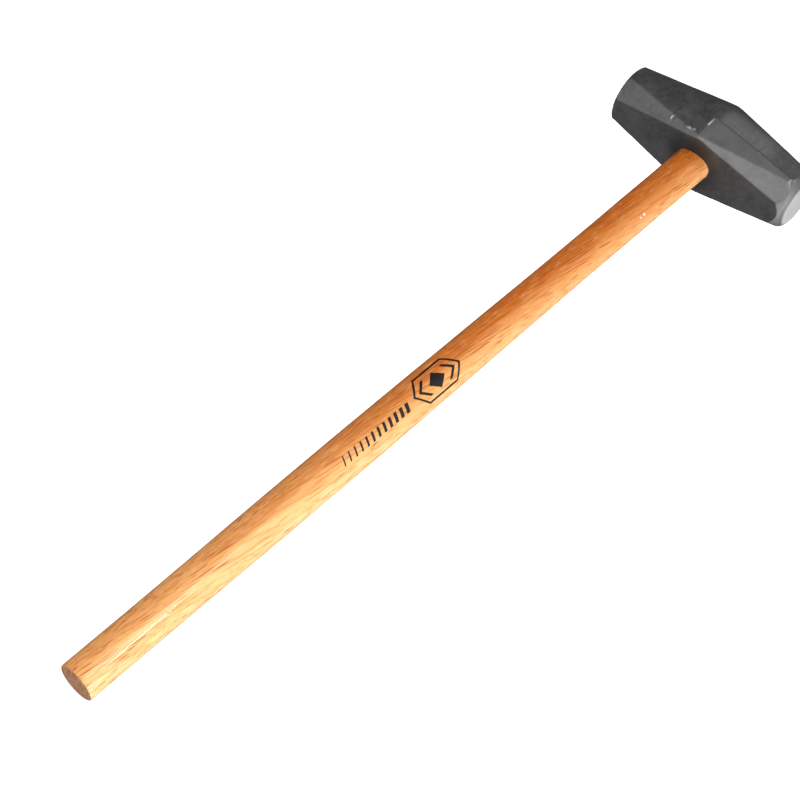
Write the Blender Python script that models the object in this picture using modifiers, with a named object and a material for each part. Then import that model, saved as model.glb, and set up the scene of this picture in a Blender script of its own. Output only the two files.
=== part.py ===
"""Double-faced sledgehammer, standing on its head with the handle straight up.

Metres, +Z up.  The origin is on the floor under the middle of the head.
X runs from striking face to striking face, Y runs from cheek to cheek.
The handle's tenon fills a waisted oval eye and is held by one wooden wedge
and two steel wedges, all driven from the side the head stands on.
"""

import math

import bmesh
import bpy
from mathutils import Matrix, Vector

# Overall
OVERALL_LENGTH = 0.9144          # 36 inches, wedge side of the head to the butt
GAP = 0.0003                     # air left between pieces that touch

# Head: an octagonal bar, fullest at the eye and tapering to both ends
EYE_HALF_WIDTH = 0.0426
EYE_HALF_HEIGHT = 0.0362
CHEEK_FLAT = 0.0080              # half length of the level middle of each cheek
SIDE_FLAT = 0.0140               # half length of the level faces round the eye
BARREL_END = 0.1015              # where the octagon stops and the grinding starts
END_HALF_WIDTH = 0.0344
END_HALF_HEIGHT = 0.0324
END_CHAMFER = 0.0200             # the same chamfers where the grinding starts
EYE_CHAMFER = 0.0090             # the corners' 45 degree chamfers, at the eye
CHEEK_LAND = 0.0080              # half height of the upright band along each cheek
CHEEK_DRAFT = math.radians(12.0)  # lean of the cheek above and below that band
HEAD_HALF_LENGTH = 0.1115
RIGHT_BEVEL = (0.0345, 0.0285)   # ground cone's radius at BARREL_END and at the face
LEFT_BEVEL = (0.0403, 0.0310)    # the left end is ground less than the right
FACE_ROUNDING = 0.0060           # turned corner between bevel and face
FACE_ROUNDING_STEPS = 5
CLEAR_RADIUS = 0.0560            # the turned envelope clears the whole barrel
GRINDING_SEGMENTS = 64
FORGED_EDGE = 0.0014             # rounding of the forged edges
HEAD_CENTRE_Z = EYE_HALF_HEIGHT
HEAD_TOP_Z = 2.0 * EYE_HALF_HEIGHT

# Eye: half sizes along X and Y at its two mouths and its waist
EYE_HANDLE_MOUTH = (0.0207, 0.0153)
EYE_WAIST = (0.0198, 0.0146)
EYE_WEDGE_MOUTH = (0.0216, 0.0164)
EYE_SQUARENESS = 2.3             # superellipse exponent of the oval
EYE_SEGMENTS = 56
EYE_OVERRUN = 0.0050             # how far the eye's cutter runs past the head

# Handle: (height share, half size X, half size Y, superellipse exponent)
HANDLE_STATIONS = (
    (0.00, 0.0204, 0.0150, 2.3),
    (0.25, 0.0192, 0.0166, 2.2),
    (0.62, 0.0201, 0.0201, 2.0),
    (1.00, 0.0182, 0.0182, 2.0),
)
HANDLE_RINGS = 26                # rings on the handle above the head
BUTT_ROUNDING = 0.0014
BUTT_ROUNDING_STEPS = 3
TENON_RINGS = 6
TENON_RECESS = 0.0005            # tenon end sits this far inside the eye

# Wedges, driven up into the tenon from the wedge mouth
WOOD_WEDGE_BASE = 0.0056
WOOD_WEDGE_TIP = 0.0012
WOOD_WEDGE_DEPTH = 0.0460
KERF_WIDTH = 0.0014
KERF_DEPTH = 0.0560
STEEL_WEDGE_WIDTH = 0.0220
STEEL_WEDGE_BASE = 0.0034
STEEL_WEDGE_TIP = 0.0008
STEEL_WEDGE_DEPTH = 0.0260
STEEL_WEDGE_OFFSET = 0.0100      # each side of the middle, along X
WEDGE_RECESS = 0.0008
CUTTER_OVERRUN = 0.0040

SHARP_ANGLE = math.radians(28.0)
BEVEL_ANGLE = math.radians(6.0)
DIAGONAL = math.sqrt(0.5)


def clear_scene():
    """Remove every object, mesh and material left by an earlier run."""
    for scene_object in list(bpy.data.objects):
        bpy.data.objects.remove(scene_object, do_unlink=True)
    for mesh in list(bpy.data.meshes):
        bpy.data.meshes.remove(mesh)
    for old_material in list(bpy.data.materials):
        bpy.data.materials.remove(old_material)


def new_collection(name):
    """A collection in the scene, emptied of any earlier one of its name."""
    old = bpy.data.collections.get(name)
    if old:
        bpy.data.collections.remove(old)
    collection = bpy.data.collections.new(name)
    bpy.context.scene.collection.children.link(collection)
    return collection


def material(name, colour, roughness, metallic):
    """A Principled BSDF material."""
    made = bpy.data.materials.new(name)
    made.use_nodes = True
    shader = made.node_tree.nodes["Principled BSDF"]
    shader.inputs["Base Color"].default_value = (*colour, 1.0)
    shader.inputs["Roughness"].default_value = roughness
    shader.inputs["Metallic"].default_value = metallic
    made.diffuse_color = (*colour, 1.0)
    return made


def object_from_bmesh(bm, name, collection, finish=None):
    """Turn a bmesh into a linked object, with its normals pointing out."""
    bm.normal_update()
    bmesh.ops.recalc_face_normals(bm, faces=bm.faces[:])
    mesh = bpy.data.meshes.new(name)
    bm.to_mesh(mesh)
    bm.free()
    if finish:
        mesh.materials.append(finish)
    made = bpy.data.objects.new(name, mesh)
    collection.objects.link(made)
    return made


def mark_as_cutter(cutter):
    """Show an object as a wire guide that takes no part in the model."""
    cutter.hide_render = True
    cutter.display_type = "WIRE"


def boolean(target, cutter, operation):
    """Add an exact Boolean modifier."""
    step = target.modifiers.new(f"{operation.lower()}_{cutter.name}", "BOOLEAN")
    step.operation = operation
    step.solver = "EXACT"
    step.object = cutter


def shade(piece):
    """Smooth shading that keeps the real corners sharp."""
    piece.data.shade_smooth()
    piece.data.set_sharp_from_angle(angle=SHARP_ANGLE)


def oval_ring(bm, half_x, half_y, exponent, z):
    """A ring of vertices on a superellipse, at height z."""
    ring = []
    for index in range(EYE_SEGMENTS):
        angle = 2.0 * math.pi * index / EYE_SEGMENTS
        cosine, sine = math.cos(angle), math.sin(angle)
        x = half_x * math.copysign(abs(cosine) ** (2.0 / exponent), cosine)
        y = half_y * math.copysign(abs(sine) ** (2.0 / exponent), sine)
        ring.append(bm.verts.new((x, y, z)))
    return ring


def oval_loft(sections):
    """A closed bmesh through (half X, half Y, exponent, z) sections."""
    bm = bmesh.new()
    rings = [oval_ring(bm, *section) for section in sections]
    for lower, upper in zip(rings, rings[1:]):
        for index in range(EYE_SEGMENTS):
            following = (index + 1) % EYE_SEGMENTS
            bm.faces.new((lower[index], lower[following], upper[following], upper[index]))
    bm.faces.new(list(reversed(rings[0])))
    bm.faces.new(rings[-1])
    return bm


def eye_size(z, clearance=0.0):
    """Half sizes of the waisted eye at height z, less a clearance."""
    if z < HEAD_CENTRE_Z:
        near, far = EYE_WEDGE_MOUTH, EYE_WAIST
        share = z / HEAD_CENTRE_Z
    else:
        near, far = EYE_WAIST, EYE_HANDLE_MOUTH
        share = (z - HEAD_CENTRE_Z) / (HEAD_TOP_Z - HEAD_CENTRE_Z)
    return tuple(a + (b - a) * share - clearance for a, b in zip(near, far))


def handle_size(share):
    """Half sizes and exponent of the handle, by share of its visible length."""
    for start, end in zip(HANDLE_STATIONS, HANDLE_STATIONS[1:]):
        if share <= end[0]:
            local = (share - start[0]) / (end[0] - start[0])
            eased = local * local * (3.0 - 2.0 * local)
            return tuple(a + (b - a) * eased for a, b in zip(start[1:], end[1:]))
    return HANDLE_STATIONS[-1][1:]


def cut_plane(bm, point, normal):
    """Slice a convex bmesh with a plane, drop the outer side and cap the cut."""
    geometry = bm.verts[:] + bm.edges[:] + bm.faces[:]
    cut = bmesh.ops.bisect_plane(
        bm, geom=geometry, plane_co=point, plane_no=normal, clear_outer=True
    )
    rim = [item for item in cut["geom_cut"] if isinstance(item, bmesh.types.BMEdge)]
    if rim:
        bmesh.ops.contextual_create(bm, geom=rim)


def taper_plane(bm, end, axis, flat, eye_reach, end_reach):
    """Cut one of the head's tapered sides, which falls from the eye to the end."""
    run = BARREL_END - flat
    normal = Vector((end * (eye_reach - end_reach), 0.0, 0.0)) + axis * run
    point = Vector((end * flat, 0.0, HEAD_CENTRE_Z)) + axis * eye_reach
    cut_plane(bm, point, normal.normalized())


def octagonal_billet():
    """The forged body of the head: tapered sides, chamfered corners, drafted cheeks."""
    bm = bmesh.new()
    size = (2.0 * HEAD_HALF_LENGTH, 2.0 * EYE_HALF_WIDTH, 2.0 * EYE_HALF_HEIGHT)
    place = Matrix.Translation((0.0, 0.0, HEAD_CENTRE_Z))
    bmesh.ops.create_cube(bm, size=1.0, matrix=place @ Matrix.Diagonal((*size, 1.0)))
    eye_corner = (EYE_HALF_WIDTH + EYE_HALF_HEIGHT - EYE_CHAMFER) * DIAGONAL
    end_corner = (END_HALF_WIDTH + END_HALF_HEIGHT - END_CHAMFER) * DIAGONAL
    lean_out, lean_up = math.cos(CHEEK_DRAFT), math.sin(CHEEK_DRAFT)
    eye_draft = EYE_HALF_WIDTH * lean_out + CHEEK_LAND * lean_up
    end_draft = END_HALF_WIDTH * lean_out + CHEEK_LAND * lean_up
    for end in (-1.0, 1.0):
        for side in (-1.0, 1.0):
            cheek = Vector((0.0, side, 0.0))
            level = Vector((0.0, 0.0, side))
            taper_plane(bm, end, cheek, CHEEK_FLAT, EYE_HALF_WIDTH, END_HALF_WIDTH)
            taper_plane(bm, end, level, SIDE_FLAT, EYE_HALF_HEIGHT, END_HALF_HEIGHT)
            for up in (-1.0, 1.0):
                corner = Vector((0.0, side * DIAGONAL, up * DIAGONAL))
                draft = Vector((0.0, side * lean_out, up * lean_up))
                taper_plane(bm, end, corner, CHEEK_FLAT, eye_corner, end_corner)
                taper_plane(bm, end, draft, CHEEK_FLAT, eye_draft, end_draft)
    return bm


def grinding_profile(wide_radius, face_radius):
    """(x, radius) points of an end ground at +X: the bevel's cone, a turned corner, the face."""
    slope = (wide_radius - face_radius) / (HEAD_HALF_LENGTH - BARREL_END)
    turn = math.pi / 2.0 - math.atan(slope)
    tangent = FACE_ROUNDING * math.tan(turn / 2.0)
    centre_x = HEAD_HALF_LENGTH - FACE_ROUNDING
    centre_radius = face_radius - tangent
    profile = [(BARREL_END - (CLEAR_RADIUS - wide_radius) / slope, CLEAR_RADIUS)]
    for step in range(FACE_ROUNDING_STEPS + 1):
        angle = turn * (1.0 - step / FACE_ROUNDING_STEPS)
        x = centre_x + FACE_ROUNDING * math.cos(angle)
        profile.append((x, centre_radius + FACE_ROUNDING * math.sin(angle)))
    profile.append((HEAD_HALF_LENGTH, 0.0))
    return profile


def grinding_envelope(collection):
    """A turned body along X that grinds a bevel and a flat face on each end."""
    right = grinding_profile(*RIGHT_BEVEL)
    left = grinding_profile(*LEFT_BEVEL)
    profile = [(-x, radius) for x, radius in reversed(left)] + right
    points = [(radius, 0.0, -x) for x, radius in profile]
    edges = [(index, index + 1) for index in range(len(points) - 1)]
    mesh = bpy.data.meshes.new("grinding_envelope")
    mesh.from_pydata(points, edges, [])
    envelope = bpy.data.objects.new("grinding_envelope", mesh)
    collection.objects.link(envelope)
    envelope.rotation_euler = (0.0, math.pi / 2.0, 0.0)
    envelope.location = (0.0, 0.0, HEAD_CENTRE_Z)
    turn = envelope.modifiers.new("turn", "SCREW")
    turn.steps = GRINDING_SEGMENTS
    turn.render_steps = GRINDING_SEGMENTS
    turn.use_merge_vertices = True
    turn.merge_threshold = 0.00005
    mark_as_cutter(envelope)
    return envelope


def make_eye_cutter(collection):
    """The waisted oval hole through the head."""
    heights = (-EYE_OVERRUN, HEAD_CENTRE_Z, HEAD_TOP_Z + EYE_OVERRUN)
    sections = [(*eye_size(z), EYE_SQUARENESS, z) for z in heights]
    cutter = object_from_bmesh(oval_loft(sections), "eye_cutter", collection)
    mark_as_cutter(cutter)
    return cutter


def make_head(parts, cutters, steel):
    """Forged head: octagonal billet, rounded edges, ground ends, oval eye."""
    head = object_from_bmesh(octagonal_billet(), "head", parts, steel)
    edges = head.modifiers.new("forged_edges", "BEVEL")
    edges.width = FORGED_EDGE
    edges.segments = 2
    edges.limit_method = "ANGLE"
    edges.angle_limit = BEVEL_ANGLE
    boolean(head, grinding_envelope(cutters), "INTERSECT")
    boolean(head, make_eye_cutter(cutters), "DIFFERENCE")
    shade(head)
    return head


def tenon_sections(clearance):
    """Sections of the part of the handle that sits inside the eye."""
    sections = []
    for index in range(TENON_RINGS + 1):
        z = TENON_RECESS + (HEAD_TOP_Z - TENON_RECESS) * index / TENON_RINGS
        sections.append((*eye_size(z, clearance), EYE_SQUARENESS, z))
    return sections


def handle_sections():
    """Sections of the whole handle, from the tenon's end to the butt."""
    visible = OVERALL_LENGTH - HEAD_TOP_Z
    sections = tenon_sections(GAP)
    for index in range(1, HANDLE_RINGS + 1):
        share = index / HANDLE_RINGS * (1.0 - BUTT_ROUNDING / visible)
        sections.append((*handle_size(share), HEAD_TOP_Z + share * visible))
    half_x, half_y, exponent, base = sections[-1]
    for step in range(1, BUTT_ROUNDING_STEPS + 1):
        angle = math.pi / 2.0 * step / BUTT_ROUNDING_STEPS
        inset = BUTT_ROUNDING * (1.0 - math.cos(angle))
        z = base + BUTT_ROUNDING * math.sin(angle)
        sections.append((half_x - inset, half_y - inset, exponent, z))
    return sections


def wedge_body(length, base, tip, depth, grow, turned, offset):
    """A wedge standing point up: long on X, or on Y when turned."""
    bm = bmesh.new()
    bottom = WEDGE_RECESS - (CUTTER_OVERRUN if grow else 0.0)
    height = WEDGE_RECESS + depth + grow - bottom
    bmesh.ops.create_cube(bm, size=1.0)
    slope = (base - tip) / depth
    for vertex in bm.verts:
        z = bottom + height * (vertex.co.z + 0.5)
        thickness = base - slope * (z - WEDGE_RECESS) + 2.0 * grow
        along = vertex.co.x * (length + 2.0 * grow)
        across = vertex.co.y * thickness
        if turned:
            vertex.co = (offset - across, along, z)
        else:
            vertex.co = (along + offset, across, z)
    return bm


def wood_wedge_bmesh(grow):
    """The wooden wedge before it is trimmed to the tenon's outline."""
    length = 3.0 * EYE_WEDGE_MOUTH[0]
    return wedge_body(
        length, WOOD_WEDGE_BASE, WOOD_WEDGE_TIP, WOOD_WEDGE_DEPTH, grow, False, 0.0
    )


def steel_wedge_bmesh(side, grow):
    """One steel wedge, set crosswise on one side of the middle."""
    return wedge_body(
        STEEL_WEDGE_WIDTH, STEEL_WEDGE_BASE, STEEL_WEDGE_TIP, STEEL_WEDGE_DEPTH,
        grow, True, side * STEEL_WEDGE_OFFSET,
    )


def make_slots(cutters):
    """Cutters for the sawn kerf and for the three wedges' seats."""
    seat = object_from_bmesh(wood_wedge_bmesh(GAP), "wood_wedge_seat", cutters)
    bm = bmesh.new()
    kerf_size = (3.0 * EYE_WEDGE_MOUTH[0], KERF_WIDTH, KERF_DEPTH + CUTTER_OVERRUN)
    middle = Matrix.Translation((0.0, 0.0, (KERF_DEPTH - CUTTER_OVERRUN) / 2.0))
    bmesh.ops.create_cube(bm, size=1.0, matrix=middle @ Matrix.Diagonal((*kerf_size, 1.0)))
    kerf = object_from_bmesh(bm, "kerf_cutter", cutters)
    crosses = []
    for name, side in (("steel_seat_left", -1.0), ("steel_seat_right", 1.0)):
        crosses.append(object_from_bmesh(steel_wedge_bmesh(side, GAP), name, cutters))
    for cutter in (seat, kerf, *crosses):
        mark_as_cutter(cutter)
    return seat, kerf, crosses


def make_handle(parts, seat, kerf, crosses, wood):
    """One-piece wooden handle with its kerfed tenon."""
    handle = object_from_bmesh(oval_loft(handle_sections()), "handle", parts, wood)
    for cutter in (seat, kerf, *crosses):
        boolean(handle, cutter, "DIFFERENCE")
    shade(handle)
    return handle


def make_wood_wedge(parts, cutters, crosses, wood):
    """Wooden wedge, as long as the tenon is wide and notched by the steel ones."""
    wedge = object_from_bmesh(wood_wedge_bmesh(0.0), "wood_wedge", parts, wood)
    outline = object_from_bmesh(oval_loft(tenon_sections(GAP)), "tenon_outline", cutters)
    mark_as_cutter(outline)
    boolean(wedge, outline, "INTERSECT")
    for cutter in crosses:
        boolean(wedge, cutter, "DIFFERENCE")
    shade(wedge)
    return wedge


def main():
    """Build the five pieces."""
    clear_scene()
    parts = new_collection("sledgehammer")
    cutters = new_collection("cutters")
    forged_steel = material("forged_steel", (0.055, 0.057, 0.060), 0.55, 0.6)
    varnished_wood = material("varnished_wood", (0.62, 0.30, 0.11), 0.35, 0.0)
    wedge_wood = material("wedge_wood", (0.50, 0.30, 0.15), 0.60, 0.0)
    wedge_steel = material("wedge_steel", (0.30, 0.30, 0.31), 0.45, 0.9)
    make_head(parts, cutters, forged_steel)
    seat, kerf, crosses = make_slots(cutters)
    make_handle(parts, seat, kerf, crosses, varnished_wood)
    make_wood_wedge(parts, cutters, crosses, wedge_wood)
    for name, side in (("steel_wedge_left", -1.0), ("steel_wedge_right", 1.0)):
        object_from_bmesh(steel_wedge_bmesh(side, 0.0), name, parts, wedge_steel)


main()
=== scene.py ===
"""Looks for the double-faced sledgehammer: forged head, varnished handle, wedges, printed mark.

Metres, +Z up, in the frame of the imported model: the tool stands on the wedge side
of its head, X runs from striking face to striking face and Y from cheek to cheek.
"""

import math

import bmesh
import bpy
from mathutils import Matrix, Vector, noise


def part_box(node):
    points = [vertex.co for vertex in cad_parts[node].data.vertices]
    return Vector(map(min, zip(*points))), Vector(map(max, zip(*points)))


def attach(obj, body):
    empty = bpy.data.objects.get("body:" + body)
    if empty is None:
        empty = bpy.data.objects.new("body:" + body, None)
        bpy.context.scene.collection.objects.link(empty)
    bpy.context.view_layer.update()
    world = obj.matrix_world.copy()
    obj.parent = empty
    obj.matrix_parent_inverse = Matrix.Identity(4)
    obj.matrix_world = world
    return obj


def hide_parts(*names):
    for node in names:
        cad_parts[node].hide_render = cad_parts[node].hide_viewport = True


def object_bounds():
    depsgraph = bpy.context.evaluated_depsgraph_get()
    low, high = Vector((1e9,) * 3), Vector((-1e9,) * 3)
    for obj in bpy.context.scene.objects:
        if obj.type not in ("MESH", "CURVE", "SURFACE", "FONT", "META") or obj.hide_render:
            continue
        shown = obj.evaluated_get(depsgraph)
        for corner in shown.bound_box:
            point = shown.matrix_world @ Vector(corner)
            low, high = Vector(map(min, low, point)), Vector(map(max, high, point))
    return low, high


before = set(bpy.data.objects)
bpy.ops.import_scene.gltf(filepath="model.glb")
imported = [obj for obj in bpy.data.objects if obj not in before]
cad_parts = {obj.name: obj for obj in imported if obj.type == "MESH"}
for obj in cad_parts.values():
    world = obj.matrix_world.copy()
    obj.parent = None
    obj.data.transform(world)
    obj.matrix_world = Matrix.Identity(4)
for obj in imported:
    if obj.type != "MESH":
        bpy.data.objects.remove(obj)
cad_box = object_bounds()

HEAD_LOW, HEAD_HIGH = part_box("head")
HANDLE_LOW, HANDLE_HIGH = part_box("handle")
HEAD_HALF_LENGTH = HEAD_HIGH[0]
HEAD_CENTRE_Z = (HEAD_LOW[2] + HEAD_HIGH[2]) / 2.0
HEAD_TOP_Z = HEAD_HIGH[2]
EYE_HALF_WIDTH = HEAD_HIGH[1]
EYE_HALF_HEIGHT = HEAD_TOP_Z - HEAD_CENTRE_Z
BUTT_Z = HANDLE_HIGH[2]
TENON_Z = HANDLE_LOW[2]

# Head: facets fall from the eye to BARREL_END, the ends are ground to a cone and a face
CHEEK_FLAT = 0.0080
SIDE_FLAT = 0.0140
BARREL_END = 0.1015
END_HALF_WIDTH = 0.0344
END_HALF_HEIGHT = 0.0324
EYE_CHAMFER = 0.0090
END_CHAMFER = 0.0200
CHEEK_LAND = 0.0080
CHEEK_DRAFT = math.radians(12.0)
CREST_ROUNDING = 0.0040          # softens the peak of the chamfers over the eye
DRAFT_ROUNDING = 0.0030
RIGHT_BEVEL = (0.0345, 0.0285)   # ground cone's radius at BARREL_END and at the face
LEFT_BEVEL = (0.0403, 0.0310)    # the left end is ground less than the right
RIGHT_SHOULDER = 0.0115          # turned corner between cone and face
LEFT_SHOULDER = 0.0075
HEAD_SIDES = 360
STATION_STEP = 0.00105
STATION_FINE_STEP = 0.00035
STATION_FINE_REACH = 0.0020
SHOULDER_STEPS = 7
FACE_RINGS = 9
FACE_RING_EASE = 1.6             # rings lie closer at the rim of the face
SHARP_ANGLE = 40.0               # degrees; softer corners are shaded smooth

# How far two neighbouring surfaces of the head blend into each other
DRAFT_EDGE = 0.00012
CHAMFER_EDGE = 0.00110
LEVEL_EDGE = 0.00130
CONE_EDGE = 0.00030
GRAZING_COSINE = 0.08            # a ray flatter than this misses a facet ...
FAR_OFF = 1.0                    # ... which then counts as this far away

# Forging marks on each cheek, in X and in height above the cheek's middle
PAD_X = (-0.0410, -0.0050)       # raised pad beside the eye
PAD_WALL = 0.0015
PAD_LOW = (0.0010, 0.0120)       # it rises from the cheek's flat ...
PAD_HIGH = (0.0150, 0.0240)      # ... and fades towards the chamfer
PAD_PROUD = 0.0011
# Painted highlight on the pad's right wall, and on the proud die marks, which are partly rubbed
# bare
GLINT_X = (PAD_X[1] - 0.0003, PAD_X[1] + PAD_WALL + 0.0005)
GLINT_WALL = (0.0062, 0.0180)   # heights between which its right wall is painted bright, a painted highlight
GLINT_FADE = (0.0005, 0.0010)   # in X and in height
RUB_AND_GLINT_PROUD = (0.00010, 0.00045)
WALL_SHINE = 0.55
BURR_SHINE = 0.50
SEAM_X = (0.0050, 0.0900)        # step above the brushed band, deeper to the end
SEAM_HEIGHT = 0.0044
SEAM_RISE = 0.058
SEAM_DEPTH = (0.0002, 0.0011)
SEAM_WALL = 0.0008
BAND_FADE = (-0.0300, -0.0120)
SKIN_RADIUS = 0.04               # the skin's noise is taken on a cylinder of this radius
FORGING_DEPTH = 0.00016
FORGING_SCALE = 70.0
FORGING_OCTAVES = (0.9, 2.1, 3)
FORGING_SHIFT = 0.7              # keeps most of the noise above 0, so that it cuts inward
PEENING_DEPTH = 0.00005
PEENING_SCALE = 420.0
PEENING_SHIFT = 0.6
LIP_HEIGHT = 0.00060             # burr where the right cone meets the cheek's draft
LIP_REACH = 0.0005
LIP_OVER = 0.0002                # how far past the cone's edge it peaks
LIP_SINE = 0.30                  # sine of its angle above the cheek's middle
LIP_SPREAD = 0.17
BARE_EDGE = (-0.00005, 0.00015)  # the skin turns bare as it passes the cone's edge

MARK_REACH_SQUARED = 9.0         # in half sizes; further off, a mark adds nothing

# Burrs and nicks left by the dies: (x, height, half length, half height, proud)
DIE_MARKS = (
    (-0.0417, 0.0285, 0.0010, 0.0017, 0.0011),
    (-0.0390, 0.0275, 0.0012, 0.0018, -0.0009),
    (-0.0180, 0.0306, 0.0030, 0.0010, 0.0007),
    (-0.0120, 0.0298, 0.0016, 0.0014, 0.0006),
    (-0.0337, -0.0148, 0.0030, 0.0006, -0.0004),
    (0.0630, 0.0150, 0.0010, 0.0016, -0.0004),
    (0.0800, 0.0205, 0.0011, 0.0011, 0.0002),
    (0.0560, 0.0090, 0.0022, 0.0010, 0.0003),
)

# Eye and handle sections: half sizes and superellipse exponent, and for the handle
# first the share of the way from the head's top to the butt
EYE_HANDLE_MOUTH = (0.0207, 0.0153)
EYE_WAIST = (0.0198, 0.0146)
EYE_WEDGE_MOUTH = (0.0216, 0.0164)
EYE_SQUARENESS = 2.3
GAP = 0.0003
HANDLE_STATIONS = (
    (0.00, 0.0204, 0.0150, 2.05),
    (0.25, 0.0192, 0.0166, 2.2),
    (0.62, 0.0201, 0.0201, 2.0),
    (1.00, 0.0182, 0.0182, 2.0),
)
HANDLE_SIDES = 96
HANDLE_RING_STEP = 0.0030
TENON_RINGS = 14
BUTT_ROUNDING = 0.0014
BUTT_STEPS = 5
BUTT_CAP_RINGS = 8
WAVE_DEPTH = 0.00016             # long unevenness left by shaving
WAVE_TURN = 0.9                  # how fast it changes round the handle ...
WAVE_RISE = 14.0                 # ... and along it
SHAVING_DEPTH = 0.00005
SHAVED_FLATS = 13.0
SHAVED_WANDER = 3.0              # radians that the flats wander round the handle
SHAVED_RISE = 6.0
SHAVED_ROW = 4.0                 # where it is taken in the noise
RELIEF_FADE = 0.01               # length over which the unevenness starts above the head
KERF_WIDTH = 0.0014
KERF_DEPTH = 0.0560
CUTTER_OVERRUN = 0.0040
WELD = 0.00001

# Small dents in the handle: (height, angle in degrees, radius, depth)
DENTS = (
    (0.178, 47.0, 0.0028, 0.00035),
    (0.184, 46.0, 0.0019, 0.00025),
    (0.247, 20.0, 0.0030, 0.00020),
    (0.331, 200.0, 0.0040, 0.00025),
    (0.552, 95.0, 0.0026, 0.00018),
    (0.702, 300.0, 0.0045, 0.00025),
    (0.781, 48.0, 0.0030, 0.00018),
    (0.846, 150.0, 0.0035, 0.00022),
)
GLINTING_DENTS = DENTS[:2]        # painted highlight in them, partly varnish flaked white
DENT_ARM = 0.019                 # the handle's radius, near enough to place a dent
DENT_CUTOFF = 2.5
DENT_STEEPNESS = 1.5

# Printed mark: a hexagon ring with a lozenge, and a row of slanted bars
MARK_ANGLE = math.radians(66.8)
MARK_CENTRE_Z = 0.4895
RING_HALF_LENGTH = 0.0320
RING_HALF_WIDTH = 0.0150
RING_SHOULDER = 0.0190
RING_LINE = 0.0021
RING_POINT = 1.3                 # line widths that its inner points are drawn in ...
RING_TUCK = 0.35                 # ... and its inner shoulders
LOZENGE = (0.0105, 0.0088)
CHEVRON_TIP = (0.0245, 0.0207)   # outer and inner point, along the handle
CHEVRON_ARM = (0.0150, 0.0112)   # outer and inner end of its arms
CHEVRON_HALF_WIDTH = 0.0085
BAR_COUNT = 12
BARS_START_Z = 0.5285
BARS_END_Z = 0.6190
BAR_HEIGHT = 0.0088
BAR_SLANT = 0.0030
BAR_THIN = 0.0014
BAR_THICK = 0.0042
BARS_ANGLE = math.radians(59.0)
INK_LIFT = 0.00004
INK_THICKNESS = 0.00010
INK_PITCH = 0.0012

GRAIN_SLOPE = 0.12               # the grain runs off the handle's axis
GRAIN_DRIFT = (0.917, -0.399)    # the side it drifts towards, nearing the head
LIGHT_SIDE = (0.917, -0.399)      # the side of the handle towards the key light, painted lighter; the side away is painted darker

# Colours of the head
DARK_SCALE = (0.072, 0.072, 0.073)
PALE_SCALE = (0.122, 0.122, 0.122)
BARE_SPECK = (0.160, 0.160, 0.160)
BRUSHED_SCALE = (0.285, 0.285, 0.285)
# painted light, paler scale where the key light falls
LIT_SCALE = (0.245, 0.245, 0.245)
# painted shade in the corner under the seam's step
SEAM_SHADE = (0.025, 0.025, 0.025)
# painted highlight on the burr lip, the pad's wall and the die marks, these partly rubbed bare
RUB_AND_GLINT_STEEL = (0.850, 0.850, 0.850)
# painted shade on the sides that the handle goes through
LEVEL_SHADE = (0.030, 0.030, 0.031)
BEVEL_STEEL = (0.190, 0.190, 0.190)
STEEL_DARK = (0.60, 0.60, 0.60)
STEEL_PALE = (0.82, 0.82, 0.82)

# Noise on the head: scale, detail, roughness, distortion
CLOUDS = (45.0, 5.0, 0.62)
BLOTCHES = (150.0, 4.0, 0.60, 0.8)
GRIT = (900.0, 3.0, 0.6)
SPECKS = (260.0, 4.0, 0.65)

# The same drawn out: scale along X, Y and Z, then detail, roughness, distortion
BRUSH_ROWS = ((1500.0, 300.0, 40.0), 4.0, 0.65)
SCRATCHES = ((160.0, 1500.0, 1500.0), 3.0, 0.7)

# Where each shows: the noise's values from none to full, and the most it covers
CLOUD_RANGE = (0.30, 0.70)
BLOTCH_RANGE = (0.42, 0.66)
BLOTCH_SHARE = 0.45
SPECK_RANGE = (0.60, 0.78)
ROW_RANGE = (0.30, 0.75)
ROW_SHARE = (0.45, 1.0)
SCRATCH_RANGE = (0.30, 0.72)

# Brushed band, by X and by depth below the step's line
BAND_START = (-0.004, 0.006)
BAND_EDGE = (0.0004, 0.0016)
BAND_DULLING = (0.055, 0.075)    # towards the end it is less bright ...
BAND_SHARE = (1.0, 0.35)         # ... by this much
GROOVE_TOP = (-0.0003, 0.0003)   # painted shade in the step's corner
GROOVE_FOOT = (0.0018, 0.0007)
GROOVE_START = (0.030, 0.060)

# Painted light: the scale painted paler to the right of the pad, on the side towards the key light,
# and a little on the chamfers left of it
SLANT_RANGE = (0.40, 0.55)       # how upright a surface's normal is on a chamfer
LIT_EDGE = (0.0002, -0.0008)
LIT_LEFT = 0.20
LIT_RIGHT = (0.66, 0.40)        # on the cheek and on the chamfers
LIT_LEVEL = (0.94, 0.86)
LIT_CLOUDS = (0.7, 1.3)

# Painted shade on the sides that the handle goes through: a painted shadow round the eye's mouth,
# and both sides painted a little darker all over
LEVEL_RANGE = (0.90, 0.97)
EYE_SHADOW_REACH = (0.040, 0.023)       # from the middle of the eye's mouth
EYE_SHADOW_SHARE = 0.48
LEVEL_SHARE = 0.36

STRUCK_RANGE = (0.88, 0.985)     # how square to X a struck face's normal is
HEAD_METALLIC = (0.45, 0.60)     # scale, and bare steel
SCALE_ROUGHNESS = (0.40, 0.52)
STEEL_ROUGHNESS = (0.50, 0.64)

# Bumps: distance, strength
SKIN_BUMP = (0.00012, 0.55)
SPECK_HEIGHT = 2.0
ROW_BUMP = (0.00025, 0.8)
SCRATCH_BUMP = (0.00008, 0.8)

# Colours of the handle
WOOD_BUTT = (0.980, 0.580, 0.230)        # paler towards the butt
WOOD_HEAD = (0.760, 0.300, 0.085)        # redder wood towards the head
WOOD_LIT = (0.930, 0.590, 0.300)       # painted light along the side towards the key light
WOOD_SHADED = (0.680, 0.175, 0.012)        # painted shade along the side away from it
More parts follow.
